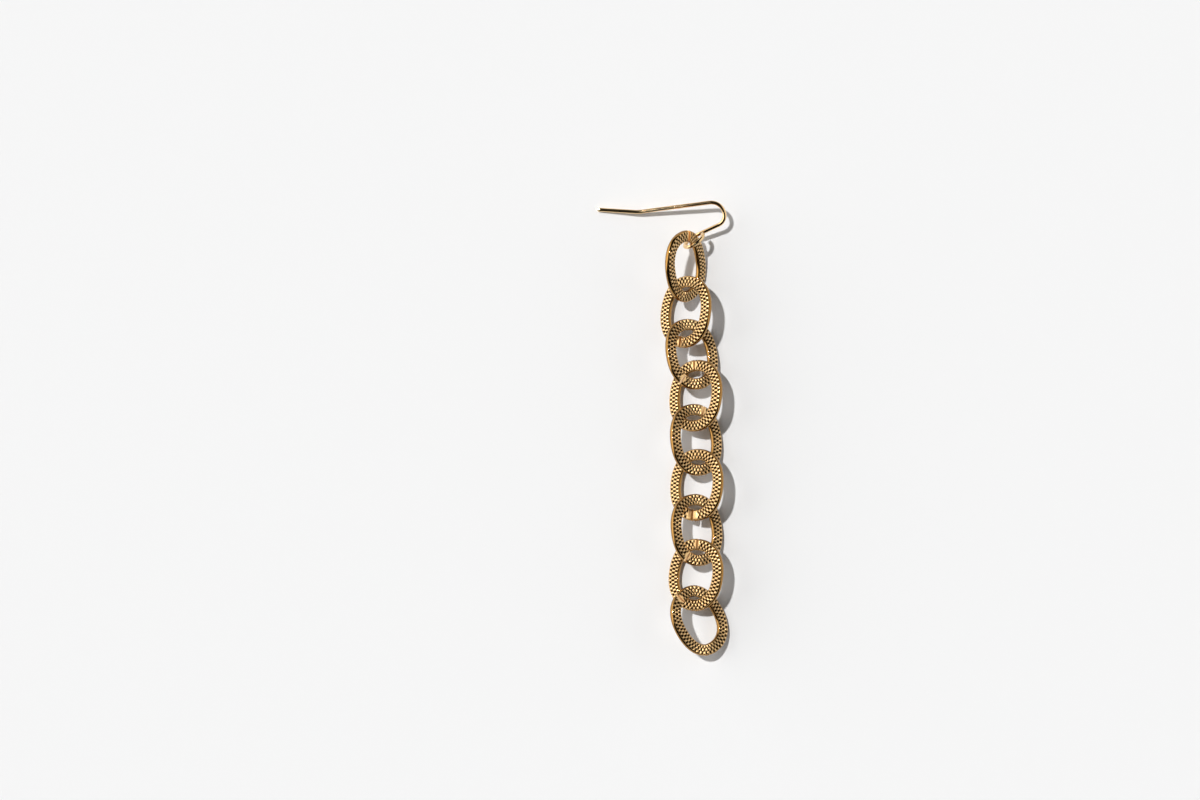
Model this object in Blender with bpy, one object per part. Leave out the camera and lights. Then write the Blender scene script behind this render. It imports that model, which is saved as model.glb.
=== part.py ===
"""Dangle earring, lying on a table: one bent ear hook and a chain of nine oval links.

Metres, +Z up. +Y runs from the last link up to the hook. The origin is on the table, under
the middle of the earring's box. Each link is an open ring of flat band whose two cut ends
meet at a seam. The links lie leaning left and right in turn, each as far from the one before
as the chain allows. The hook is one wire, bent as a wire bender would bend it.
"""

import math
from typing import NamedTuple

import bmesh
import bpy
import numpy as np
from mathutils import Matrix, Vector
from mathutils.bvhtree import BVHTree

# Link
LINK_LENGTH = 0.0144
LINK_WIDTH = 0.0120
OVAL_POWER = 2.25
BAND_WIDTH = 0.0023
BAND_THICKNESS = 0.0013
BAND_EDGE = 0.0003
SEAM_GAP = 0.00042
LINK_CLEARANCE = 0.0002
LINK_STATIONS = 38

# Hook wire, from the tail's tip to the eye
WIRE_DIAMETER = 0.00078
TAIL_LENGTH = 0.0074
TAIL_BEND_RADIUS = 0.008
TAIL_BEND = 11.0
SHANK_LENGTH = 0.0136
CROWN_RADIUS = 0.00268
CROWN_BEND = 88.0
DROP_RADIUS = 0.0021
DROP_BEND = 75.0
STEM_LENGTH = 0.0040
STEM_DIP_RADIUS = 0.0025
STEM_DIP = 20.0
EYE_CLEARANCE = 0.0004
EYE_END_GAP = 0.00012
EYE_TWIST = 70.0

# How the hook lies, in degrees, and its eye's place as a share of the way round the first link
HOOK_HEADING = -4.0
HOOK_CANT = 8.0
STEEPEST_HOOK = 60.0
EYE_ON_LINK = 0.13

# How finely the wire's bends and sides are cut, and the chain's places searched
BEND_STEP = 15.0
WIRE_BEVEL_RESOLUTION = 2
OVAL_SAMPLES = 1441
STEPS_IN_A_BAND = 8
HALVINGS = 20
SMOOTH_ANGLE = 30.0

GOLD = (0.80, 0.56, 0.27, 1.0)
BAND_ROUGHNESS = 0.3
WIRE_ROUGHNESS = 0.15


class LinkPose(NamedTuple):
    """How a link lies.

    lean, heading and nose_up are in degrees: the left limb lifted, the top turned to the left
    and the top end lifted. shift is how far it lies to the right of the link above, as a share
    of LINK_WIDTH. seam is the seam's place, as a share of the way round, clockwise from the top.
    """

    lean: float
    heading: float
    nose_up: float
    shift: float
    seam: float


LINK_POSES = (
    LinkPose(lean=48, heading=10, nose_up=22, shift=0.0, seam=0.055),
    LinkPose(lean=-38, heading=-8, nose_up=0, shift=0.010, seam=0.50),
    LinkPose(lean=33, heading=8, nose_up=-9, shift=0.095, seam=0.60),
    LinkPose(lean=-34, heading=-7, nose_up=-4, shift=0.070, seam=0.975),
    LinkPose(lean=32.5, heading=6, nose_up=-4, shift=0.002, seam=0.06),
    LinkPose(lean=-33, heading=-6, nose_up=-3, shift=0.015, seam=0.50),
    LinkPose(lean=33, heading=7, nose_up=-3, shift=-0.004, seam=0.60),
    LinkPose(lean=-30, heading=-9, nose_up=2, shift=-0.010, seam=0.985),
    LinkPose(lean=32, heading=31, nose_up=8, shift=0.05, seam=0.96),
)


class WireBend(NamedTuple):
    """One bend of the wire: a straight run, a turn about the wire, then a bend to the left."""

    run: float
    turn: float
    radius: float
    bend: float


def clear_scene():
    """Removes every object of the scene."""
    for old in list(bpy.data.objects):
        bpy.data.objects.remove(old, do_unlink=True)


def gold_material(name, roughness):
    """Gold plate of this roughness."""
    material = bpy.data.materials.new(name)
    material.use_nodes = True
    shader = material.node_tree.nodes["Principled BSDF"]
    shader.inputs["Base Color"].default_value = GOLD
    shader.inputs["Metallic"].default_value = 1.0
    shader.inputs["Roughness"].default_value = roughness
    return material


def signed_power(values, power):
    """Each value's size to this power, with its own sign."""
    return np.sign(values) * np.abs(values) ** power


def oval_line(shares):
    """Points and outward directions of the band's middle line, and the line's length.

    The line is a superellipse. The shares of the way round start at the top, clockwise.
    """
    half = np.array([LINK_WIDTH - BAND_WIDTH, LINK_LENGTH - BAND_WIDTH]) / 2
    turn = np.linspace(0.0, 2 * math.pi, OVAL_SAMPLES)
    line = half * signed_power(np.stack([np.sin(turn), np.cos(turn)], axis=1), 2 / OVAL_POWER)
    along = np.concatenate([[0.0], np.cumsum(np.linalg.norm(np.diff(line, axis=0), axis=1))])
    wanted = np.mod(shares, 1.0) * along[-1]
    points = np.stack([np.interp(wanted, along, line[:, axis]) for axis in (0, 1)], axis=1)
    outward = signed_power(points / half, OVAL_POWER - 1) / half
    outward /= np.linalg.norm(outward, axis=1)[:, None]
    return points, outward, along[-1]


def band_section(grow):
    """The band's outline, (outward, up): a flat bar with its four edges broken."""
    wide = BAND_WIDTH / 2 + grow
    high = BAND_THICKNESS / 2 + grow
    edge = min(BAND_EDGE, BAND_WIDTH / 3, BAND_THICKNESS / 3)
    return (
        (wide, high - edge),
        (wide - edge, high),
        (edge - wide, high),
        (-wide, high - edge),
        (-wide, edge - high),
        (edge - wide, -high),
        (wide - edge, -high),
        (wide, edge - high),
    )


def link_mesh(name, seam, grow=0.0):
    """One open ring of band, flat in XY, grown all round by grow."""
    half_gap = SEAM_GAP / 2 / oval_line(np.zeros(1))[2]
    shares = np.linspace(seam + half_gap, seam + 1 - half_gap, LINK_STATIONS)
    points, outward, _ = oval_line(shares)
    work = bmesh.new()
    rings = [
        [work.verts.new((*(point + out * across), up)) for across, up in band_section(grow)]
        for point, out in zip(points, outward)
    ]
    for ring, following in zip(rings, rings[1:]):
        for here in range(len(ring)):
            there = (here + 1) % len(ring)
            work.faces.new((ring[here], ring[there], following[there], following[here]))
    work.faces.new(rings[0])
    work.faces.new(rings[-1])
    bmesh.ops.recalc_face_normals(work, faces=work.faces)
    mesh = bpy.data.meshes.new(name)
    work.to_mesh(mesh)
    work.free()
    return mesh


def link_turn(pose):
    """A link's turn, from flat in XY to how it lies."""
    return (
        Matrix.Rotation(math.radians(pose.heading), 4, "Z")
        @ Matrix.Rotation(math.radians(pose.nose_up), 4, "X")
        @ Matrix.Rotation(math.radians(pose.lean), 4, "Y")
    )


def resting_height(mesh, turn):
    """How high a turned mesh's own origin is when its lowest point is on the table."""
    return -min((turn @ vertex.co).z for vertex in mesh.vertices)


def search_tree(mesh, matrix):
    """A search tree of a mesh under this matrix."""
    return BVHTree.FromPolygons(
        [matrix @ vertex.co for vertex in mesh.vertices],
        [tuple(face.vertices) for face in mesh.polygons],
    )


def next_place(above, mesh, thick, turn, side):
    """Where a link lies below the one above, pulled down the table until it would touch.

    thick is the link's mesh grown by its clearance. The search starts half a link down, where
    the two rings hang loosely in each other.
    """
    fixed = search_tree(above.data, above.matrix_world)
    start = above.matrix_world.translation
    height = resting_height(mesh, turn)

    def place_at(step):
        return Vector((start.x + side, start.y - step, height))

    def touches(step):
        return bool(fixed.overlap(search_tree(thick, Matrix.Translation(place_at(step)) @ turn)))

    stride = BAND_THICKNESS / STEPS_IN_A_BAND
    near = LINK_LENGTH / 2
    while touches(near) and near < LINK_LENGTH:
        near += stride
    while not touches(near + stride) and near < LINK_LENGTH:
        near += stride
    far = near + stride
    for _ in range(HALVINGS):
        middle = (near + far) / 2
        if touches(middle):
            far = middle
        else:
            near = middle
    return place_at(near)


def build_links(material):
    """Every link where it lies, from the hook down."""
    links = []
    for number, pose in enumerate(LINK_POSES, start=1):
        name = f"link_{number}"
        mesh = link_mesh(name, pose.seam)
        mesh.shade_smooth()
        mesh.set_sharp_from_angle(angle=math.radians(SMOOTH_ANGLE))
        mesh.materials.append(material)
        turn = link_turn(pose)
        if links:
            thick = link_mesh(f"{name}_clearance", pose.seam, LINK_CLEARANCE)
            place = next_place(links[-1], mesh, thick, turn, pose.shift * LINK_WIDTH)
            bpy.data.meshes.remove(thick)
        else:
            place = Vector((0.0, 0.0, resting_height(mesh, turn)))
        link = bpy.data.objects.new(name, mesh)
        link.matrix_world = Matrix.Translation(place) @ turn
        bpy.context.collection.objects.link(link)
        links.append(link)
    return links


def eye_radius():
    """The eye's middle radius: the band's diagonal fits inside with its clearance."""
    return math.hypot(BAND_WIDTH, BAND_THICKNESS) / 2 + EYE_CLEARANCE + WIRE_DIAMETER / 2


def eye_bend():
    """Degrees the eye turns before its cut end would meet the stem."""
    return 360 - math.degrees(math.acos(1 - (WIRE_DIAMETER + EYE_END_GAP) / eye_radius()))


def hook_bends():
    """The wire's bends in order, from the tail's tip to the eye."""
    return (
        WireBend(run=TAIL_LENGTH, turn=0, radius=TAIL_BEND_RADIUS, bend=TAIL_BEND),
        WireBend(run=SHANK_LENGTH, turn=0, radius=CROWN_RADIUS, bend=-CROWN_BEND),
        WireBend(run=0, turn=0, radius=DROP_RADIUS, bend=-DROP_BEND),
        WireBend(run=STEM_LENGTH, turn=-90, radius=STEM_DIP_RADIUS, bend=STEM_DIP),
        WireBend(run=0, turn=90 + EYE_TWIST, radius=eye_radius(), bend=eye_bend()),
    )


def hook_line():
    """The wire's middle line in its own frame, starting along +X, and the eye's centre."""
    frame = Matrix.Identity(4)
    points = [frame.translation.copy()]
    for run, turn, radius, bend in hook_bends():
        frame = frame @ Matrix.Translation((run, 0, 0)) @ Matrix.Rotation(math.radians(turn), 4, "X")
        if run:
            points.append(frame.translation.copy())
        centre = frame @ Matrix.Translation((0, math.copysign(radius, bend), 0))
        back = centre.inverted() @ frame
        steps = math.ceil(abs(bend) / BEND_STEP)
        for step in range(1, steps + 1):
            frame = centre @ Matrix.Rotation(math.radians(bend) * step / steps, 4, "Z") @ back
            points.append(frame.translation.copy())
    return points, centre.translation.copy()


def hook_placement(tip, eye, seat):
    """The hook's matrix: its eye centred on the seat, its tail let down to the table."""
    heading = Matrix.Rotation(math.radians(HOOK_HEADING), 4, "Z")
    cant = Matrix.Rotation(math.radians(HOOK_CANT), 4, "X")

    def placed(tilt):
        turn = heading @ Matrix.Rotation(-tilt, 4, "Y") @ cant
        return Matrix.Translation(seat - turn @ eye) @ turn

    low, high = 0.0, math.radians(STEEPEST_HOOK)
    for _ in range(HALVINGS):
        middle = (low + high) / 2
        if (placed(middle) @ tip).z > WIRE_DIAMETER / 2:
            low = middle
        else:
            high = middle
    return placed(low)


def build_hook(material, first_link):
    """The bent wire, its eye round the first link's band."""
    points, _, _ = oval_line(np.array([EYE_ON_LINK]))
    seat = first_link.matrix_world @ Vector((*points[0], 0.0))
    line, eye = hook_line()
    curve = bpy.data.curves.new("ear_hook", "CURVE")
    curve.dimensions = "3D"
    curve.bevel_depth = WIRE_DIAMETER / 2
    curve.bevel_resolution = WIRE_BEVEL_RESOLUTION
    curve.use_fill_caps = True
    spline = curve.splines.new("POLY")
    spline.points.add(len(line) - 1)
    for point, place in zip(spline.points, line):
        point.co = (*place, 1.0)
    curve.materials.append(material)
    hook = bpy.data.objects.new("ear_hook", curve)
    hook.matrix_world = hook_placement(line[0], eye, seat)
    bpy.context.collection.objects.link(hook)
    return hook


def centre_on_table(pieces):
    """Moves everything so that the origin is under the middle of its box."""
    bpy.context.view_layer.update()
    graph = bpy.context.evaluated_depsgraph_get()
    corners = []
    for piece in pieces:
        shape = piece.evaluated_get(graph).to_mesh()
        corners += [piece.matrix_world @ vertex.co for vertex in shape.vertices]
    low = np.min(corners, axis=0)
    high = np.max(corners, axis=0)
    shift = Vector((-(low[0] + high[0]) / 2, -(low[1] + high[1]) / 2, -low[2]))
    for piece in pieces:
        piece.matrix_world = Matrix.Translation(shift) @ piece.matrix_world


def main():
    """Builds the whole earring."""
    clear_scene()
    links = build_links(gold_material("gold_plated_band", BAND_ROUGHNESS))
    hook = build_hook(gold_material("gold_plated_wire", WIRE_ROUGHNESS), links[0])
    centre_on_table([hook, *links])


main()
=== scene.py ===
"""Dresses a packed dangle earring: nine hammered oval links and a polished ear wire.

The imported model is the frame. Each link and the ear wire is built again here, finer, on the same
sizes, laid where its solid lies and given its gold finish. Lengths are in metres unless a name
says millimetres, angles are in degrees, and +Z is up.
"""

from __future__ import annotations

import logging
import math
from dataclasses import dataclass, field
from enum import Enum
from typing import Any

import bpy
import numpy as np
from mathutils import Matrix, Vector

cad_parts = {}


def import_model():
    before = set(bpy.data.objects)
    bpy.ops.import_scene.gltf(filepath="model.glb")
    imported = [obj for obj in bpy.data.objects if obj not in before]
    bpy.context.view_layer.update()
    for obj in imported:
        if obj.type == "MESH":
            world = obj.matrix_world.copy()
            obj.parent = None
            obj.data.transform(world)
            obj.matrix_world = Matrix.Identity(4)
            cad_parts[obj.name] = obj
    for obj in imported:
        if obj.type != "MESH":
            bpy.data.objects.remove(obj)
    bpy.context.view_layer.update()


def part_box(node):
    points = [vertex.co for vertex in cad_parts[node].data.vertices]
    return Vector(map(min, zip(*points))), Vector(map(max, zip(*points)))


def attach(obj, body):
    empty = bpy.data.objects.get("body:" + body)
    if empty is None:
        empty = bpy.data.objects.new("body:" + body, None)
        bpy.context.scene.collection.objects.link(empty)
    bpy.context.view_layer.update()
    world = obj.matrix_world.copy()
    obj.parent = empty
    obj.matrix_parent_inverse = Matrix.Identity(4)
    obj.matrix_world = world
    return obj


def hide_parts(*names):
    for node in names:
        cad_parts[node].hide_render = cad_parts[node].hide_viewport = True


LOG = logging.getLogger("earring")
MM = 0.001
DENT_ATTRIBUTE = "dent"
RADIUS_ATTRIBUTE = "wire_radius"


class Socket(Enum):
    """The kinds of input that a geometry tree here declares."""

    FLOAT = "NodeSocketFloat"
    INTEGER = "NodeSocketInt"
    MATERIAL = "NodeSocketMaterial"


class MaterialSlot(Enum):
    """Two named material slots, for the band and the wire."""

    BAND = "gold_plated_band"
    WIRE = "gold_plated_wire"


def linear(code: str) -> tuple[float, float, float, float]:
    """Turns an sRGB hex colour to linear.

    Args:
        code: The colour, such as "#F0C46A".

    Returns:
        Red, green, blue and an alpha of 1.
    """
    values = [int(code[place : place + 2], 16) / 255 for place in (1, 3, 5)]
    red, green, blue = (
        value / 12.92 if value <= 0.04045 else ((value + 0.055) / 1.055) ** 2.4
        for value in values
    )
    return red, green, blue, 1.0


def add_node(
    tree: bpy.types.NodeTree,
    kind: str,
    inputs: dict[str | int, Any] | None = None,
    **settings: Any,
) -> bpy.types.Node:
    """Adds a node with its settings, values and links.

    Args:
        tree: The tree that gets the node.
        kind: The node's type.
        inputs: A value or an output socket to link, by the input's name or number.
        settings: The node's own properties.

    Returns:
        The new node.
    """
    node = tree.nodes.new(kind)
    for name, value in settings.items():
        setattr(node, name, value)
    for key, value in (inputs or {}).items():
        if isinstance(value, bpy.types.NodeSocket):
            tree.links.new(value, node.inputs[key])
        else:
            node.inputs[key].default_value = value
    return node


def calc(
    tree: bpy.types.NodeTree, operation: str, *values: float | bpy.types.NodeSocket
) -> bpy.types.NodeSocket:
    """Adds a maths node.

    Args:
        tree: The tree that gets the node.
        operation: What the node works out.
        values: Its numbers or the sockets to link, in the node's order.

    Returns:
        The socket with the result.
    """
    inputs = dict(enumerate(values))
    return add_node(tree, "ShaderNodeMath", inputs, operation=operation).outputs[0]


def new_geometry_tree(
    name: str, sockets: dict[str, Socket]
) -> tuple[bpy.types.NodeTree, bpy.types.Node]:
    """Makes a geometry tree that takes a mesh of edges and named inputs, and gives geometry.

    Args:
        name: The tree's name.
        sockets: The named inputs after the geometry, with their kinds.

    Returns:
        The tree and its group input node.
    """
    tree = bpy.data.node_groups.new(name, "GeometryNodeTree")
    tree.interface.new_socket("Path", in_out="INPUT", socket_type="NodeSocketGeometry")
    for label, kind in sockets.items():
        tree.interface.new_socket(label, in_out="INPUT", socket_type=kind.value)
    tree.interface.new_socket("Geometry", in_out="OUTPUT", socket_type="NodeSocketGeometry")
    return tree, tree.nodes.new("NodeGroupInput")


def sweep(
    name: str, path: bpy.types.Mesh, tree: bpy.types.NodeTree, values: dict[str, Any]
) -> bpy.types.Mesh:
    """Runs a geometry tree on a path and gives its result as a plain mesh.

    Args:
        name: The new mesh's name.
        path: A mesh of edges for the tree to follow.
        tree: The geometry tree.
        values: The tree's inputs by name.

    Returns:
        The plain mesh.
    """
    holder = bpy.data.objects.new(f"{name}_path", path)
    bpy.context.collection.objects.link(holder)
    modifier = holder.modifiers.new(tree.name, "NODES")
    modifier.node_group = tree
    for item in tree.interface.items_tree:
        if item.in_out == "INPUT" and item.name in values:
            modifier[item.identifier] = values[item.name]
    graph = bpy.context.evaluated_depsgraph_get()
    mesh = bpy.data.meshes.new_from_object(
        holder.evaluated_get(graph), preserve_all_data_layers=True, depsgraph=graph
    )
    mesh.name = name
    holder.modifiers.remove(modifier)
    bpy.data.objects.remove(holder, do_unlink=True)
    bpy.data.meshes.remove(path)
    return mesh


def path_mesh(name: str, points: np.ndarray) -> bpy.types.Mesh:
    """Makes a mesh of edges through points.

    Args:
        name: The mesh's name.
        points: One row of X, Y and Z a point.

    Returns:
        The mesh.
    """
    mesh = bpy.data.meshes.new(name)
    edges = [(number, number + 1) for number in range(len(points) - 1)]
    mesh.from_pydata(points.tolist(), edges, [])
    return mesh


def lay_on_solid(mesh: bpy.types.Mesh, node: str, turn: Matrix) -> None:
    """Turns a mesh as its solid lies and moves it there: centred on it, down to its lowest point.

    Args:
        mesh: The mesh, in its own frame.
        node: The CAD node's name.
        turn: The turn from the mesh's own frame to the lying one.
    """
    mesh.transform(turn)
    places = np.empty(len(mesh.vertices) * 3, np.float32)
    mesh.vertices.foreach_get("co", places)
    places = places.reshape(-1, 3)
    low, high = places.min(axis=0), places.max(axis=0)
    solid_low, solid_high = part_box(node)
    middle = (solid_low + solid_high) / 2
    shift = (
        middle.x - (low[0] + high[0]) / 2,
        middle.y - (low[1] + high[1]) / 2,
        solid_low.z - low[2],
    )
    mesh.transform(Matrix.Translation(shift))


def add_piece(name: str, mesh: bpy.types.Mesh, node: str) -> bpy.types.Object:
    """Adds a finished mesh as the piece that stands for a CAD node.

    Args:
        name: The piece's name.
        mesh: The mesh, in the part's frame.
        node: The CAD node that it stands for.

    Returns:
        The new object.
    """
    piece = bpy.data.objects.new(name, mesh)
    bpy.context.collection.objects.link(piece)
    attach(piece, "root")
    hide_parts(node)
    LOG.info("%s: %d faces", name, len(mesh.polygons))
    return piece


@dataclass(frozen=True)
class GoldPlate:
    """Yellow gold plate over brass.

    A metal with a warm yellow reflection. Polishing leaves it nearly a mirror, with a slow wave
    from the wheel. The dents' bottoms are duller, where the wheel doesn't reach, and their colour
    is painted near black as shade in the dents.

    Attributes:
        name: The material's name.
        colour: Its reflection where polished.
        roughness: Its roughness where polished.
        painted_dent_shade: The painted shade at the bottom of a dent.
        dent_roughness: Its roughness at the bottom of a dent.
        best_polish: The roughness of its smoothest places, as a share.
        worst_polish: The roughness of its dullest places, as a share.
        wave_mm: The length of the polishing wheel's wave.
        wave_depth_mm: The depth of that wave.
        grain_mm: The size of the fine marks in the plate.
        grain_depth_mm: Their depth.
    """

    name: str
    colour: str
    roughness: float
    # Painted shade: a near-black colour for the dents' bottoms, where shade falls.
    painted_dent_shade: str = "#241405"
    dent_roughness: float = 0.42
    best_polish: float = 0.92
    worst_polish: float = 1.2
    wave_mm: float = 1.6
    wave_depth_mm: float = 0.012
    grain_mm: float = 0.12
    grain_depth_mm: float = 0.0008

    def material(self) -> bpy.types.Material:
        """Makes the material.

        Returns:
            The material, on Object coordinates and the dents' attribute.
        """
        material = bpy.data.materials.new(self.name)
        material.use_nodes = True
        tree = material.node_tree
        shader = tree.nodes["Principled BSDF"]
        shader.inputs["Metallic"].default_value = 1.0
        place = add_node(tree, "ShaderNodeTexCoord").outputs["Object"]
        dent = add_node(
            tree, "ShaderNodeAttribute", attribute_name=DENT_ATTRIBUTE, attribute_type="GEOMETRY"
        ).outputs["Fac"]
        # The dents' painted shade turns the colour near black at their bottoms.
        colour = add_node(
            tree,
            "ShaderNodeMix",
            {0: dent, 6: linear(self.colour), 7: linear(self.painted_dent_shade)},
            data_type="RGBA",
        )
        tree.links.new(colour.outputs[2], shader.inputs["Base Color"])
        wear = add_node(
            tree,
            "ShaderNodeTexNoise",
            {"Vector": place, "Scale": 1 / (self.wave_mm * MM), "Detail": 3.0},
        ).outputs["Fac"]
        polish = add_node(
            tree,
            "ShaderNodeMapRange",
            {
                "Value": wear,
                "To Min": self.roughness * self.best_polish,
                "To Max": self.roughness * self.worst_polish,
            },
        ).outputs["Result"]
        roughness = add_node(
            tree, "ShaderNodeMix", {0: dent, 2: polish, 3: self.dent_roughness}
        ).outputs[0]
        tree.links.new(roughness, shader.inputs["Roughness"])
        grain = add_node(
            tree,
            "ShaderNodeTexNoise",
            {"Vector": place, "Scale": 1 / (self.grain_mm * MM), "Detail": 2.0},
        ).outputs["Fac"]
        slow = add_node(
            tree, "ShaderNodeBump", {"Height": wear, "Distance": self.wave_depth_mm * MM}
        ).outputs["Normal"]
        fine = add_node(
            tree,
            "ShaderNodeBump",
            {"Height": grain, "Distance": self.grain_depth_mm * MM, "Normal": slow},
        ).outputs["Normal"]
        tree.links.new(fine, shader.inputs["Normal"])
        return material


@dataclass(frozen=True)
class MattBoard:
    """Matt white coated board.

    It scatters all the light that it gets and shows no gloss, only a very faint tooth.

    Attributes:
        name: The material's name.
        colour: Its colour.
        roughness: Its roughness.
        gloss: How strong its gloss is, where 0.5 is the usual.
        tooth_mm: The size of the coating's tooth.
        tooth_depth_mm: The depth of that tooth.
    """

    name: str = "matt_white_board"
    colour: str = "#F0F0F0"
    roughness: float = 0.8
    gloss: float = 0.1
    tooth_mm: float = 0.8
    tooth_depth_mm: float = 0.01

    def material(self) -> bpy.types.Material:
        """Makes the material.

        Returns:
            The material, on Object coordinates.
        """
        material = bpy.data.materials.new(self.name)
        material.use_nodes = True
        tree = material.node_tree
        shader = tree.nodes["Principled BSDF"]
        shader.inputs["Base Color"].default_value = linear(self.colour)
        shader.inputs["Roughness"].default_value = self.roughness
        shader.inputs["Specular IOR Level"].default_value = self.gloss
        place = add_node(tree, "ShaderNodeTexCoord").outputs["Object"]
        tooth = add_node(
            tree, "ShaderNodeTexNoise", {"Vector": place, "Scale": 1 / (self.tooth_mm * MM)}
        ).outputs["Fac"]
        bump = add_node(
            tree, "ShaderNodeBump", {"Height": tooth, "Distance": self.tooth_depth_mm * MM}
        ).outputs["Normal"]
        tree.links.new(bump, shader.inputs["Normal"])
        return material


@dataclass(frozen=True)
class LinkPose:
    """How one link lies, and where its seam is.

    Attributes:
        lean: How far its left limb is lifted.
        heading: How far its top is turned to the left.
        nose_up: How far its top end is lifted.
        seam: The seam's place, as a share of the way round, clockwise from the top.
        plain_mm: How much of the band is left undented at each side of the seam.
    """

    lean: float
    heading: float
    nose_up: float
    seam: float
    plain_mm: float = 0.25

    def turn(self) -> Matrix:
        """Gives the turn from flat in XY to how the link lies.

        Returns:
            The turn.
        """
        return (
            Matrix.Rotation(math.radians(self.heading), 4, "Z")
            @ Matrix.Rotation(math.radians(self.nose_up), 4, "X")
            @ Matrix.Rotation(math.radians(self.lean), 4, "Y")
        )


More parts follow.
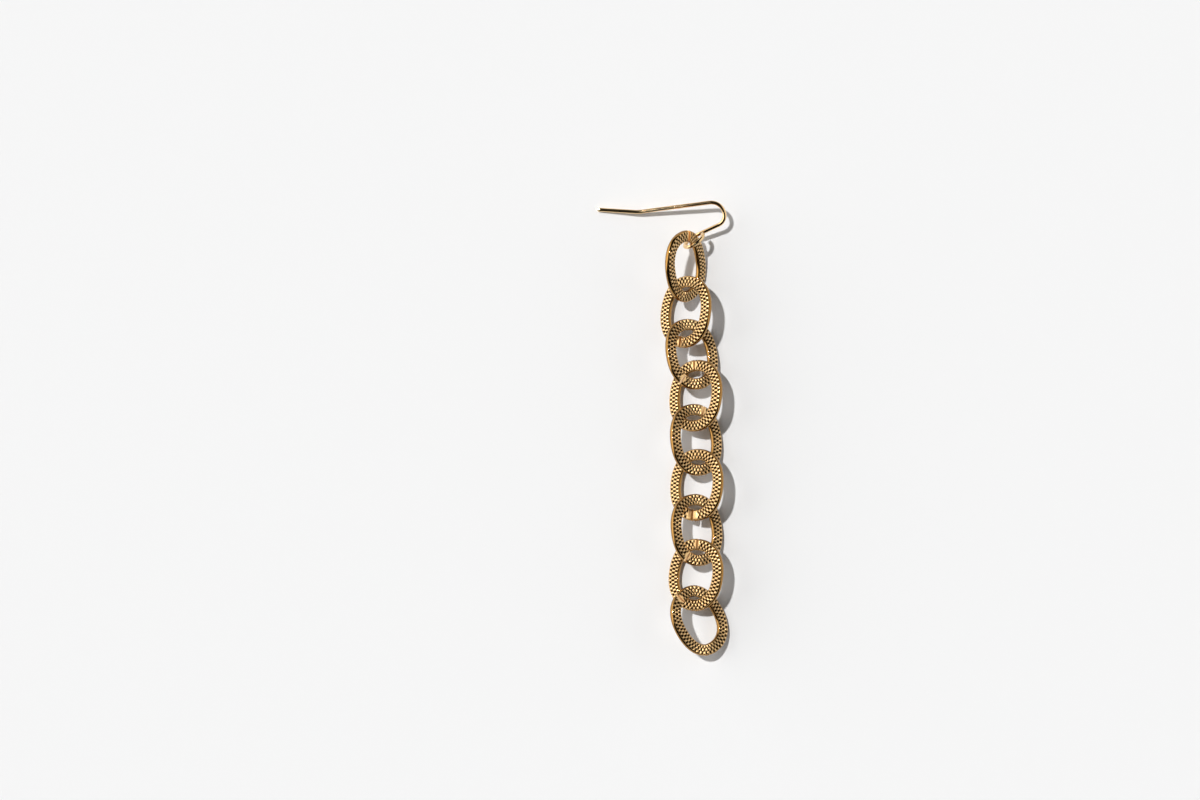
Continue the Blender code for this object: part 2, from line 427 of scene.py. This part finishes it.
@dataclass
class HammeredBand:
    """The geometry tree that sweeps a flat band along a path and dents its two faces.

    Attributes:
        width: The band's width.
        thickness: The band's thickness.
        flatness: How flat its faces are across: 2 is an ellipse, more is flatter.
        step: The distance between points round the section.
        rows: How many rows of dents there are round a link.
        column_gap: The distance between the columns of dents across the band.
        depth: How deep the dents are struck.
        rim: How much of each face's edge is left plain.
        fade: How far the dents take to end at the rim.
        seam_fade: How far they take to end at the seam, as a share of the band.
        wander: How far a dent strays from its row, as a share of the row's turn.
        wander_length: The distance over which that changes.
        form_from: The lattice's value where a pillow begins to fall off. It is -1 in the middle
            of a pillow and 1 in the middle of a dent.
        form_to: The lattice's value where a dent has its full depth.
        dark_from: The lattice's value where a dent's painted shade begins.
        dark_to: The lattice's value where its painted shade is darkest.
        outline_steps: The points of the circle that becomes the section's outline.
        tree: The geometry tree that sweeps the band, the same for every link.
    """

    width: float = 2.3 * MM
    thickness: float = 1.3 * MM
    flatness: float = 5.0
    step: float = 0.1 * MM
    rows: int = 45
    column_gap: float = 0.68 * MM
    depth: float = 0.19 * MM
    rim: float = 0.2 * MM
    fade: float = 0.1 * MM
    seam_fade: float = 0.006
    wander: float = 0.09
    wander_length: float = 0.9 * MM
    form_from: float = -0.5
    form_to: float = 0.4
    dark_from: float = -0.14
    dark_to: float = 0.16
    outline_steps: int = 720
    tree: bpy.types.NodeTree = field(init=False)

    def __post_init__(self) -> None:
        """Builds the tree."""
        self.tree = self._build_tree()

    def values(self, line: float, plain: float, face: Any, wall: Any) -> dict[str, Any]:
        """Gives the tree's inputs for one link.

        Args:
            line: The length of the link's middle line.
            plain: The undented length at each side of its seam.
            face: The material of the two dented faces.
            wall: The material of the side walls, rims and cut ends.

        Returns:
            The values by the inputs' names.
        """
        return {
            "Band Width": self.width,
            "Band Thickness": self.thickness,
            "Flatness": self.flatness,
            "Section Step": self.step,
            "Rows": self.rows,
            "Column Gap": self.column_gap,
            "Dent Depth": self.depth,
            "Rim": self.rim,
            "Wander": self.wander,
            "Plain Share": plain / line,
            "Face Finish": face,
            "Wall Finish": wall,
        }

    def _build_tree(self) -> bpy.types.NodeTree:
        """Builds the tree.

        Returns:
            The tree, which ends in Realize Instances and Set Material.
        """
        number, whole = Socket.FLOAT, Socket.INTEGER
        tree, given = new_geometry_tree(
            "Hammered band",
            {
                "Band Width": number,
                "Band Thickness": number,
                "Flatness": number,
                "Section Step": number,
                "Rows": whole,
                "Column Gap": number,
                "Dent Depth": number,
                "Rim": number,
                "Wander": number,
                "Plain Share": number,
                "Face Finish": Socket.MATERIAL,
                "Wall Finish": Socket.MATERIAL,
            },
        )
        size = given.outputs
        line = add_node(tree, "GeometryNodeMeshToCurve", {"Mesh": size["Path"]})
        line = add_node(
            tree, "GeometryNodeSetCurveNormal", {"Curve": line.outputs[0]}, mode="Z_UP"
        )
        along = add_node(tree, "GeometryNodeCaptureAttribute", domain="POINT")
        along.capture_items.new("FLOAT", "Along")
        share = add_node(tree, "GeometryNodeSplineParameter").outputs["Factor"]
        tree.links.new(line.outputs[0], along.inputs["Geometry"])
        tree.links.new(share, along.inputs["Along"])

        section = add_node(
            tree,
            "GeometryNodeResampleCurve",
            {"Curve": self._section(tree, size), "Length": size["Section Step"]},
            mode="LENGTH",
        )
        across = add_node(tree, "GeometryNodeCaptureAttribute", domain="POINT")
        across.capture_items.new("VECTOR", "Section")
        spot = add_node(tree, "GeometryNodeInputPosition").outputs[0]
        tree.links.new(section.outputs[0], across.inputs["Geometry"])
        tree.links.new(spot, across.inputs["Section"])
        band = add_node(
            tree,
            "GeometryNodeCurveToMesh",
            {
                "Curve": along.outputs["Geometry"],
                "Profile Curve": across.outputs["Geometry"],
                "Fill Caps": True,
            },
        ).outputs[0]
        split = add_node(tree, "ShaderNodeSeparateXYZ", {0: across.outputs["Section"]})
        form, dark = self._dent_fields(tree, size, along.outputs["Along"], split.outputs[0])

        height = add_node(tree, "ShaderNodeSeparateXYZ", {0: spot}).outputs[2]
        side = calc(tree, "SIGN", height)
        sunk = calc(tree, "MULTIPLY", form, size["Dent Depth"])
        inward = calc(tree, "MULTIPLY", sunk, side)
        down = calc(tree, "MULTIPLY", inward, -1.0)
        move = add_node(tree, "ShaderNodeCombineXYZ", {2: down}).outputs[0]
        # The dents' painted shade is kept for the face material, which darkens its colour with it.
        kept = add_node(
            tree,
            "GeometryNodeStoreNamedAttribute",
            {"Geometry": band, "Name": DENT_ATTRIBUTE, "Value": dark},
            data_type="FLOAT",
            domain="POINT",
        ).outputs[0]
        struck = add_node(tree, "GeometryNodeSetPosition", {"Geometry": kept, "Offset": move})
        corners = add_node(tree, "GeometryNodeInputMeshFaceNeighbors").outputs["Vertex Count"]
        cut_end = add_node(
            tree,
            "FunctionNodeCompare",
            {2: corners, 3: 4},
            data_type="INT",
            operation="GREATER_THAN",
        ).outputs[0]
        smooth = add_node(tree, "GeometryNodeSetShadeSmooth", {0: struck.outputs[0], 2: True})
        crisp = add_node(
            tree, "GeometryNodeSetShadeSmooth", {0: smooth.outputs[0], 1: cut_end, 2: False}
        )
        whole_band = add_node(tree, "GeometryNodeRealizeInstances", {0: crisp.outputs[0]})
        walls = add_node(
            tree,
            "GeometryNodeSetMaterial",
            {"Geometry": whole_band.outputs[0], "Material": size["Wall Finish"]},
        )
        out = calc(tree, "ABSOLUTE", split.outputs[0])
        on_face = add_node(
            tree,
            "FunctionNodeCompare",
            {0: out, 1: self._face_half(tree, size)},
            data_type="FLOAT",
            operation="LESS_THAN",
        ).outputs[0]
        faces = add_node(
            tree,
            "GeometryNodeSetMaterial",
            {
                "Geometry": walls.outputs[0],
                "Selection": on_face,
                "Material": size["Face Finish"],
            },
        )
        add_node(tree, "NodeGroupOutput", {0: faces.outputs[0]})
        return tree

    def _section(self, tree: bpy.types.NodeTree, size: Any) -> bpy.types.NodeSocket:
        """Adds the nodes of the band's outline: flat faces that run over into round walls.

        Args:
            tree: The band's tree.
            size: The group input's outputs.

        Returns:
            The socket with the outline, (across, up).
        """
        ring = add_node(
            tree,
            "GeometryNodeCurvePrimitiveCircle",
            {"Resolution": self.outline_steps, "Radius": 1.0},
            mode="RADIUS",
        ).outputs["Curve"]
        spot = add_node(tree, "GeometryNodeInputPosition").outputs[0]
        part = add_node(tree, "ShaderNodeSeparateXYZ", {0: spot})
        size_x = calc(tree, "ABSOLUTE", part.outputs[0])
        side_x = calc(tree, "SIGN", part.outputs[0])
        power = calc(tree, "DIVIDE", 2.0, size["Flatness"])
        share = calc(tree, "POWER", size_x, power)
        share = calc(tree, "MULTIPLY", share, side_x)
        unit = add_node(tree, "ShaderNodeCombineXYZ", {0: share, 1: part.outputs[1]}).outputs[0]
        half = add_node(
            tree,
            "ShaderNodeCombineXYZ",
            {0: size["Band Width"], 1: size["Band Thickness"]},
        ).outputs[0]
        half = add_node(
            tree, "ShaderNodeVectorMath", {0: half, 1: (0.5, 0.5, 0.0)}, operation="MULTIPLY"
        ).outputs[0]
        place = add_node(
            tree, "ShaderNodeVectorMath", {0: unit, 1: half}, operation="MULTIPLY"
        ).outputs[0]
        return add_node(
            tree, "GeometryNodeSetPosition", {"Geometry": ring, "Position": place}
        ).outputs[0]

    def _face_half(self, tree: bpy.types.NodeTree, size: Any) -> bpy.types.NodeSocket:
        """Adds the nodes that say how far from the band's middle line its faces reach.

        Args:
            tree: The band's tree.
            size: The group input's outputs.

        Returns:
            The socket with the distance.
        """
        half = calc(tree, "MULTIPLY", size["Band Width"], 0.5)
        return calc(tree, "SUBTRACT", half, size["Rim"])

    def _dent_fields(
        self, tree: bpy.types.NodeTree, size: Any, along: Any, across: Any
    ) -> tuple[bpy.types.NodeSocket, bpy.types.NodeSocket]:
        """Adds the nodes that give each point its depth and its painted shade, from 0 to 1.

        The dents stand in rows along the band, in columns that are each half a row out of step.

        Args:
            tree: The band's tree.
            size: The group input's outputs.
            along: The share of the way along the band.
            across: The distance from the band's middle line.

        Returns:
            The socket with the depth, which leaves rounded pillows between the dents, and the one
            with the painted shade of the dents' bottoms.
        """
        spot = add_node(tree, "GeometryNodeInputPosition").outputs[0]
        stray = add_node(
            tree,
            "ShaderNodeTexNoise",
            {"Vector": spot, "Scale": 1 / self.wander_length, "Detail": 1.0},
            noise_dimensions="3D",
        ).outputs["Fac"]
        stray = add_node(
            tree, "ShaderNodeMapRange", {"Value": stray, "To Min": -1.0, "To Max": 1.0}
        ).outputs["Result"]
        stray = calc(tree, "MULTIPLY", stray, size["Wander"])
        row = calc(tree, "MULTIPLY_ADD", along, size["Rows"], stray)
        row_turn = calc(tree, "MULTIPLY", row, 2 * math.pi)
        row_wave = calc(tree, "COSINE", row_turn)
        column = calc(tree, "DIVIDE", across, size["Column Gap"])
        column_turn = calc(tree, "MULTIPLY", column, math.pi)
        column_wave = calc(tree, "COSINE", column_turn)
        lattice = calc(tree, "MULTIPLY", row_wave, column_wave)
        form = add_node(
            tree,
            "ShaderNodeMapRange",
            {"Value": lattice, "From Min": self.form_from, "From Max": self.form_to},
            interpolation_type="SMOOTHSTEP",
        ).outputs["Result"]
        # The painted shade: darkest at the dents' bottoms, where shade falls.
        dark = add_node(
            tree,
            "ShaderNodeMapRange",
            {"Value": lattice, "From Min": self.dark_from, "From Max": self.dark_to},
            interpolation_type="SMOOTHSTEP",
        ).outputs["Result"]

        face_half = self._face_half(tree, size)
        plain_from = calc(tree, "SUBTRACT", face_half, self.fade)
        out = calc(tree, "ABSOLUTE", across)
        off_rim = add_node(
            tree,
            "ShaderNodeMapRange",
            {
                "Value": out,
                "From Min": plain_from,
                "From Max": face_half,
                "To Min": 1.0,
                "To Max": 0.0,
            },
            interpolation_type="SMOOTHSTEP",
        ).outputs["Result"]
        back = calc(tree, "SUBTRACT", 1.0, along)
        to_seam = calc(tree, "MINIMUM", along, back)
        clear = calc(tree, "ADD", size["Plain Share"], self.seam_fade)
        off_seam = add_node(
            tree,
            "ShaderNodeMapRange",
            {"Value": to_seam, "From Min": size["Plain Share"], "From Max": clear},
            interpolation_type="SMOOTHSTEP",
        ).outputs["Result"]
        limit = calc(tree, "MULTIPLY", off_rim, off_seam)
        return calc(tree, "MULTIPLY", form, limit), calc(tree, "MULTIPLY", dark, limit)


@dataclass
class LinkChain:
    """The nine open oval links, each through the next.

    Attributes:
        length: A link's length over all.
        width: A link's width over all.
        oval_power: How square the oval is: 2 is an ellipse.
        seam_gap: The gap between a link's two cut ends.
        stations: The points along each link's band.
        samples: The points that the middle line is measured on.
        band: The band's section and its dents.
        face: The finish of the dented faces.
        wall: The finish of the side walls, rims and cut ends: the faces' gold, painted darker as
            shade.
        poses: How each link lies, from the hook down.
    """

    length: float = 14.4 * MM
    width: float = 12.0 * MM
    oval_power: float = 2.25
    seam_gap: float = 0.42 * MM
    stations: int = 720
    samples: int = 4321
    band: HammeredBand = field(default_factory=HammeredBand)
    face: GoldPlate = GoldPlate("hammered_gold_plate", colour="#EEC68C", roughness=0.31)
    # The walls' gold is painted darker than the faces' as shade: a shaded copy of the same gold.
    wall: GoldPlate = GoldPlate("polished_gold_plate_painted_shade", colour="#A67D45", roughness=0.05)
    poses: tuple[LinkPose, ...] = (
        LinkPose(48, 10, 22, 0.055),
        LinkPose(-38, -8, 0, 0.50),
        LinkPose(33, 8, -9, 0.60),
        LinkPose(-34, -7, -4, 0.975),
        LinkPose(32.5, 6, -4, 0.06),
        LinkPose(-33, -6, -3, 0.50, plain_mm=0.9),
        LinkPose(33, 7, -3, 0.60),
        LinkPose(-30, -9, 2, 0.985),
        LinkPose(32, 31, 8, 0.96),
    )

    def oval_line(self, shares: np.ndarray) -> tuple[np.ndarray, float]:
        """Gives points of the band's middle line, a superellipse flat in XY.

        Args:
            shares: Places as shares of the way round, clockwise from the top.

        Returns:
            One row of X, Y and Z a place, and the line's length.
        """
        half = np.array([self.width - self.band.width, self.length - self.band.width]) / 2
        turn = np.linspace(0.0, 2 * math.pi, self.samples)
        wave = np.stack([np.sin(turn), np.cos(turn)], axis=1)
        line = half * np.sign(wave) * np.abs(wave) ** (2 / self.oval_power)
        steps = np.linalg.norm(np.diff(line, axis=0), axis=1)
        along = np.concatenate([[0.0], np.cumsum(steps)])
        wanted = np.mod(shares, 1.0) * along[-1]
        points = [np.interp(wanted, along, line[:, axis]) for axis in (0, 1)]
        return np.stack([*points, np.zeros(len(shares))], axis=1), float(along[-1])

    def build(self) -> None:
        """Builds, lays and dresses every link."""
        face, wall = self.face.material(), self.wall.material()
        for number, pose in enumerate(self.poses, start=1):
            self._build_link(f"link_{number}", pose, face, wall)

    def _build_link(
        self, node: str, pose: LinkPose, face: bpy.types.Material, wall: bpy.types.Material
    ) -> None:
        """Builds, lays and dresses one link.

        Args:
            node: The CAD node that it stands for.
            pose: How it lies.
            face: The material of its dented faces.
            wall: The material of its side walls, rims and cut ends.
        """
        line = self.oval_line(np.zeros(1))[1]
        half_gap = self.seam_gap / 2 / line
        shares = np.linspace(pose.seam + half_gap, pose.seam + 1 - half_gap, self.stations)
        path = path_mesh(f"{node}_line", self.oval_line(shares)[0])
        values = self.band.values(line, pose.plain_mm * MM, face, wall)
        mesh = sweep(f"{node}_hammered", path, self.band.tree, values)
        lay_on_solid(mesh, node, pose.turn())
        add_piece(f"{node}_hammered", mesh, node)


@dataclass(frozen=True)
class WireBend:
    """One bend of the wire: a straight run, a turn about the wire, then a bend to the left.

    Attributes:
        run: The straight run before the bend.
        turn: The turn about the wire.
        radius: The bend's middle radius.
        bend: How far it bends.
    """

    run: float
    turn: float
    radius: float
    bend: float


@dataclass
class EarHook:
    """The ear wire: a tail, a long shank, the crown, and an eye round the first link.

    Attributes:
        diameter: The wire's diameter.
        bends: The wire's bends, from the tail's tip to the eye.
        eye_clearance: The room between the eye and the corners of the link's band.
        eye_end_gap: The gap between the eye's cut end and the wire that it closes on.
        eye_twist: How far the eye is twisted out of the hook's plane.
        band_width: The width of the band that the eye goes round.
        band_thickness: Its thickness.
        heading: How far the wire is turned about the upright.
        tilt: How far its crown is lifted.
        cant: How far it is turned about its own length.
        bend_step: The angle between the points of a bend.
        sides: The wire's sides.
        tip_edge: The radius that rounds the edge of the tail's square cut tip.
        tip_steps: The rings that round it.
        finish: Its finish.
    """

    diameter: float = 0.78 * MM
    bends: tuple[WireBend, ...] = ()
    eye_clearance: float = 0.4 * MM
    eye_end_gap: float = 0.12 * MM
    eye_twist: float = 70.0
    band_width: float = 2.3 * MM
    band_thickness: float = 1.3 * MM
    heading: float = -4.0
    tilt: float = 7.98123
    cant: float = 8.0
    bend_step: float = 3.0
    sides: int = 28
    tip_edge: float = 0.08 * MM
    tip_steps: int = 6
    finish: GoldPlate = GoldPlate("polished_gold_wire", colour="#F4D09A", roughness=0.045)

    def __post_init__(self) -> None:
        """Works out the eye from the link's band, and lists the bends."""
        radius = math.hypot(self.band_width, self.band_thickness) / 2
        radius += self.eye_clearance + self.diameter / 2
        closing = math.acos(1 - (self.diameter + self.eye_end_gap) / radius)
        self.bends = self.bends or (
            WireBend(7.4 * MM, 0, 8.0 * MM, 11),
            WireBend(13.6 * MM, 0, 2.68 * MM, -88),
            WireBend(0, 0, 2.1 * MM, -75),
            WireBend(4.0 * MM, -90, 2.5 * MM, 20),
            WireBend(0, 90 + self.eye_twist, radius, 360 - math.degrees(closing)),
        )

    def line(self) -> np.ndarray:
        """Gives the wire's middle line in its own frame.

        Returns:
            One row of X, Y and Z a point, from the tail's tip to the eye's cut end.
        """
        frame = Matrix.Identity(4)
        points = [frame.translation.copy()]
        for bend in self.bends:
            turn = Matrix.Rotation(math.radians(bend.turn), 4, "X")
            frame = frame @ Matrix.Translation((bend.run, 0, 0)) @ turn
            if bend.run:
                points.append(frame.translation.copy())
            centre = frame @ Matrix.Translation((0, math.copysign(bend.radius, bend.bend), 0))
            back = centre.inverted() @ frame
            steps = math.ceil(abs(bend.bend) / self.bend_step)
            for step in range(1, steps + 1):
                swing = Matrix.Rotation(math.radians(bend.bend) * step / steps, 4, "Z")
                frame = centre @ swing @ back
                points.append(frame.translation.copy())
        return np.array([tuple(point) for point in points])

    def rounded_line(self) -> tuple[np.ndarray, np.ndarray]:
        """Gives the wire's middle line and its radius at each point, the tip's edge rounded.

        Returns:
            The points, and one radius a point.
        """
        points = self.line()
        radius = self.diameter / 2
        ahead = (points[1] - points[0]) / np.linalg.norm(points[1] - points[0])
        edge = self.tip_edge
        angles = np.linspace(0.0, math.pi / 2, self.tip_steps + 1)
        tip = [points[0] + ahead * edge * (1 - math.cos(angle)) for angle in angles]
        sizes = [radius - edge * (1 - math.sin(angle)) for angle in angles]
        # A ring close behind the tip keeps the edge's shading off the straight tail.
        behind = points[0] + ahead * self.diameter
        line = np.array([*tip, behind, *points[1:]])
        return line, np.array(sizes + [radius] * len(points))

    def build(self) -> None:
        """Builds, lays and dresses the wire."""
        points, radii = self.rounded_line()
        path = path_mesh("ear_wire_line", points)
        given = path.attributes.new(RADIUS_ATTRIBUTE, "FLOAT", "POINT")
        given.data.foreach_set("value", radii)
        values = {"Sides": self.sides, "Finish": self.finish.material()}
        mesh = sweep("ear_wire", path, self._build_tree(), values)
        turn = (
            Matrix.Rotation(math.radians(self.heading), 4, "Z")
            @ Matrix.Rotation(math.radians(-self.tilt), 4, "Y")
            @ Matrix.Rotation(math.radians(self.cant), 4, "X")
        )
        lay_on_solid(mesh, "ear_hook", turn)
        add_piece("ear_wire", mesh, "ear_hook")

    def _build_tree(self) -> bpy.types.NodeTree:
        """Builds the tree that sweeps a round wire along a path.

        Returns:
            The tree, which ends in Realize Instances and Set Material.
        """
        tree, given = new_geometry_tree(
            "Round wire", {"Sides": Socket.INTEGER, "Finish": Socket.MATERIAL}
        )
        size = given.outputs
        line = add_node(tree, "GeometryNodeMeshToCurve", {"Mesh": size["Path"]}).outputs[0]
        radius = add_node(
            tree,
            "GeometryNodeInputNamedAttribute",
            {"Name": RADIUS_ATTRIBUTE},
            data_type="FLOAT",
        ).outputs["Attribute"]
        ring = add_node(
            tree,
            "GeometryNodeCurvePrimitiveCircle",
            {"Resolution": size["Sides"], "Radius": 1.0},
            mode="RADIUS",
        ).outputs["Curve"]
        wire = add_node(
            tree,
            "GeometryNodeCurveToMesh",
            {"Curve": line, "Profile Curve": ring, "Scale": radius, "Fill Caps": True},
        ).outputs[0]
        smooth = add_node(tree, "GeometryNodeSetShadeSmooth", {0: wire, 2: True}).outputs[0]
        whole = add_node(tree, "GeometryNodeRealizeInstances", {0: smooth}).outputs[0]
        dressed = add_node(
            tree, "GeometryNodeSetMaterial", {"Geometry": whole, "Material": size["Finish"]}
        ).outputs[0]
        add_node(tree, "NodeGroupOutput", {0: dressed})
        return tree


@dataclass(frozen=True)
class Studio:
    """The pale floor, the light and the camera.

    Attributes:
        floor_size: The floor's width and depth.
        floor: Its finish.
        sun_from: The direction that the key light comes from.
        sun_strength: The key light's strength.
        sun_angle: How wide the key light is.
        left: The brightness of the bright wall on the left.
        right: The brightness of the wall on the right.
        dark: The brightness of the dark room between the two.
        gap_from: How far to a side, from 0 to 1, the dark room reaches.
        gap_to: Where a wall has its full brightness.
        gap_taper: How much wider the dark room gets towards the camera's own side.
        camera_at: The camera's place.
        lens_mm: Its focal length.
        frame_mm: The width of its frame.
        nearest: The distance from which it sees.
    """

    floor_size: float = 1.6
    floor: MattBoard = MattBoard()
    sun_from: tuple[float, float, float] = (-0.355, 0.30, 0.885)
    sun_strength: float = 2.52
    sun_angle: float = 2.5
    left: float = 2.15
    right: float = 0.95
    dark: float = 0.015
    gap_from: float = 0.5
    gap_to: float = 0.64
    gap_taper: float = 0.85
    camera_at: tuple[float, float, float] = (-0.01255, 0.00561, 0.60)
    lens_mm: float = 90.0
    frame_mm: float = 36.0
    nearest: float = 0.01

    def build(self) -> None:
        """Builds the floor, the light and the camera."""
        self._build_floor()
        self._build_light()
        self._build_surroundings()
        self._build_camera()

    def _build_floor(self) -> None:
        """Lays the floor."""
        half = self.floor_size / 2
        mesh = bpy.data.meshes.new("floor")
        corners = [(-half, -half, 0), (half, -half, 0), (half, half, 0), (-half, half, 0)]
        mesh.from_pydata(corners, [], [(0, 1, 2, 3)])
        mesh.materials.append(self.floor.material())
        floor = bpy.data.objects.new("floor", mesh)
        bpy.context.collection.objects.link(floor)

    def _build_light(self) -> None:
        """Adds the key light, high on the upper left."""
        light = bpy.data.lights.new("key", "SUN")
        light.energy = self.sun_strength
        light.angle = math.radians(self.sun_angle)
        key = bpy.data.objects.new("key", light)
        key.rotation_euler = Vector(self.sun_from).to_track_quat("Z", "Y").to_euler()
        bpy.context.collection.objects.link(key)

    def _build_surroundings(self) -> None:
        """Makes the room: a bright wall on each side, and dark between them."""
        world = bpy.data.worlds.new("studio")
        world.use_nodes = True
        tree = world.node_tree
        place = add_node(tree, "ShaderNodeTexCoord").outputs["Generated"]
        part = add_node(tree, "ShaderNodeSeparateXYZ", {0: place})
        nearer = calc(tree, "MINIMUM", part.outputs[1], 0.0)
        narrowed = calc(tree, "MULTIPLY", nearer, self.gap_taper)
        strength: bpy.types.NodeSocket | float = self.dark
        for sign, full in ((-1.0, self.left), (1.0, self.right)):
            side = calc(tree, "MULTIPLY_ADD", part.outputs[0], sign, narrowed)
            glow = add_node(
                tree,
                "ShaderNodeMapRange",
                {
                    "Value": side,
                    "From Min": self.gap_from,
                    "From Max": self.gap_to,
                    "To Max": full,
                },
                interpolation_type="SMOOTHSTEP",
            ).outputs["Result"]
            strength = calc(tree, "ADD", strength, glow)
        tree.links.new(strength, tree.nodes["Background"].inputs["Strength"])
        tree.nodes["Background"].inputs["Color"].default_value = (1.0, 1.0, 1.0, 1.0)
        bpy.context.scene.world = world

    def _build_camera(self) -> None:
        """Adds the camera, looking straight down."""
        view = bpy.data.cameras.new("camera")
        view.lens = self.lens_mm
        view.sensor_width = self.frame_mm
        view.clip_start = self.nearest
        camera = bpy.data.objects.new("camera", view)
        camera.location = self.camera_at
        bpy.context.collection.objects.link(camera)
        bpy.context.scene.camera = camera


def main() -> None:
    """Dresses the earring and sets the studio round it."""
    logging.basicConfig(level=logging.INFO, format="%(name)s: %(message)s")
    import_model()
    LinkChain().build()
    EarHook().build()
    Studio().build()
    bpy.context.scene.view_settings.view_transform = "Standard"
    bpy.context.view_layer.update()


if __name__ == "__main__":
    main()
